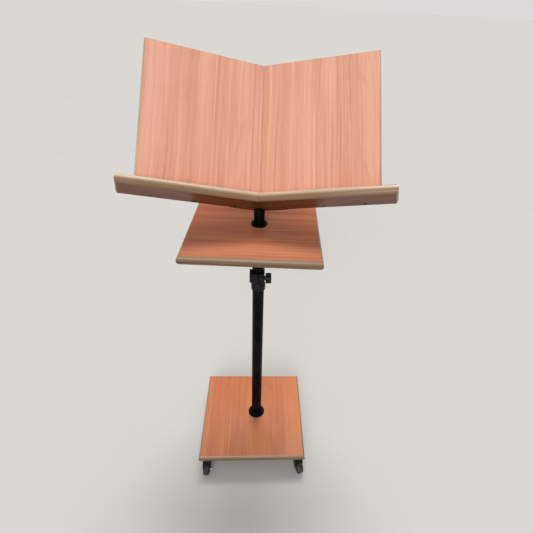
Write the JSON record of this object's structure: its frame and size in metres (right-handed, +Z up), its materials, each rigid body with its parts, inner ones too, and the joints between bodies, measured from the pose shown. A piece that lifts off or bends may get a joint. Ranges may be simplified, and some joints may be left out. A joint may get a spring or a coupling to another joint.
{
  "type": "photo album stand",
  "caption": "Free-standing rolling display stand: square base board on casters, telescoping mast with clamp collar, square shelf and a V-shaped leaning cradle for a large open album.",
  "frame": {"origin": "on the floor, at the middle of the stand's overall footprint seen from above", "axes": "+Z up, reader stands on the -Y side and looks along +Y, +X to the reader's right"},
  "size_m": [0.7595, 0.5292, 1.4122],
  "materials": {
    "cherry_laminate": "cherry-patterned satin laminate with fine straight grain",
    "wood_edging": "pale brown D-shaped wooden moulding, satin lacquer",
    "black_enamel": "black satin enamel on steel",
    "black_plastic": "black moulded nylon, fine texture",
    "nylon": "natural white nylon",
    "zinc_steel": "bright zinc plating",
    "black_screws": "black phosphated steel, slightly oily",
    "caster_steel": "black-coated pressed steel with worn edges",
    "wheel_nylon": "dark grey moulded hub",
    "wheel_tread": "black rubber tread, dusty"
  },
  "bodies": {
    "base": {"base_board": "cherry_laminate", "base_edging": "wood_edging", "base_flange": "black_enamel", "base_flange_screws": "black_enamel", "lower_tube": "black_enamel", "foot_plug": "black_plastic", "mast_washer": "zinc_steel", "mast_bolt": "zinc_steel", "height_collar": "black_plastic", "clamp_bolt": "zinc_steel", "clamp_washer": "zinc_steel", "king_pins": "zinc_steel", "caster_screws": "zinc_steel", "caster_plate_front_left": "zinc_steel", "caster_plate_front_right": "zinc_steel", "caster_plate_rear_left": "zinc_steel", "caster_plate_rear_right": "zinc_steel"},
    "knob": {"clamp_knob": "black_plastic", "knob_insert": "zinc_steel"},
    "lift": {"glide_bush": "nylon"},
    "mast": {"stop_ring": "zinc_steel", "upper_tube_plug": "black_plastic", "upper_tube": "black_enamel", "shelf_lower_flange": "black_enamel", "shelf_upper_flange": "black_enamel", "shelf_board": "cherry_laminate", "shelf_edging": "wood_edging", "shelf_bolts": "black_enamel", "shelf_set_screws": "black_screws", "head_bracket": "black_enamel", "panel_left": "cherry_laminate", "panel_right": "cherry_laminate", "panel_edging_left": "wood_edging", "panel_edging_right": "wood_edging", "ledge_left": "cherry_laminate", "ledge_right": "cherry_laminate", "ledge_edging_left": "wood_edging", "ledge_edging_right": "wood_edging", "bracket_screws": "black_screws", "ledge_screws": "black_screws"},
    "caster_front_left": {"caster_fork_front_left": "caster_steel", "caster_axle_front_left": "zinc_steel"},
    "wheel_front_left": {"caster_wheel_front_left": "wheel_nylon", "caster_tyre_front_left": "wheel_tread"},
    "caster_front_right": {"caster_fork_front_right": "caster_steel", "caster_axle_front_right": "zinc_steel"},
    "wheel_front_right": {"caster_wheel_front_right": "wheel_nylon", "caster_tyre_front_right": "wheel_tread"},
    "caster_rear_left": {"caster_fork_rear_left": "caster_steel", "caster_axle_rear_left": "zinc_steel"},
    "wheel_rear_left": {"caster_wheel_rear_left": "wheel_nylon", "caster_tyre_rear_left": "wheel_tread"},
    "caster_rear_right": {"caster_fork_rear_right": "caster_steel", "caster_axle_rear_right": "zinc_steel"},
    "wheel_rear_right": {"caster_wheel_rear_right": "wheel_nylon", "caster_tyre_rear_right": "wheel_tread"}
  },
  "joints": [
    {"name": "height_slide", "type": "slide", "parent": "base", "child": "lift", "axis": [0, 0, 1], "range_m": [-0.09, 0.2]},
    {"name": "mast_turn", "type": "hinge", "parent": "lift", "child": "mast", "pos_m": [0, -0.03348, 0.434], "axis": [0, 0, 1], "continuous": true},
    {"name": "clamp_knob_turn", "type": "hinge", "parent": "base", "child": "knob", "pos_m": [0.02, -0.06098, 0.778], "axis": [1, 0, 0], "range_deg": [0, 360]},
    {"name": "swivel_front_left", "type": "hinge", "parent": "base", "child": "caster_front_left", "pos_m": [-0.181, -0.21348, 0.068], "axis": [0, 0, 1], "continuous": true},
    {"name": "wheel_spin_front_left", "type": "hinge", "parent": "caster_front_left", "child": "wheel_front_left", "pos_m": [-0.18393, -0.24133, 0.025], "axis": [0.9945, -0.1045, 0], "continuous": true},
    {"name": "swivel_front_right", "type": "hinge", "parent": "base", "child": "caster_front_right", "pos_m": [0.155, -0.21348, 0.068], "axis": [0, 0, 1], "continuous": true},
    {"name": "wheel_spin_front_right", "type": "hinge", "parent": "caster_front_right", "child": "wheel_front_right", "pos_m": [0.16549, -0.23944, 0.025], "axis": [0.9272, 0.3746, 0], "continuous": true},
    {"name": "swivel_rear_left", "type": "hinge", "parent": "base", "child": "caster_rear_left", "pos_m": [-0.181, 0.13452, 0.068], "axis": [0, 0, 1], "continuous": true},
    {"name": "wheel_spin_rear_left", "type": "hinge", "parent": "caster_rear_left", "child": "wheel_rear_left", "pos_m": [-0.17662, 0.10686, 0.025], "axis": [0.9877, 0.1564, 0], "continuous": true},
    {"name": "swivel_rear_right", "type": "hinge", "parent": "base", "child": "caster_rear_right", "pos_m": [0.155, 0.13452, 0.068], "axis": [0, 0, 1], "continuous": true},
    {"name": "wheel_spin_rear_right", "type": "hinge", "parent": "caster_rear_right", "child": "wheel_rear_right", "pos_m": [0.1487, 0.10723, 0.025], "axis": [0.9744, -0.225, 0], "continuous": true}
  ]
}
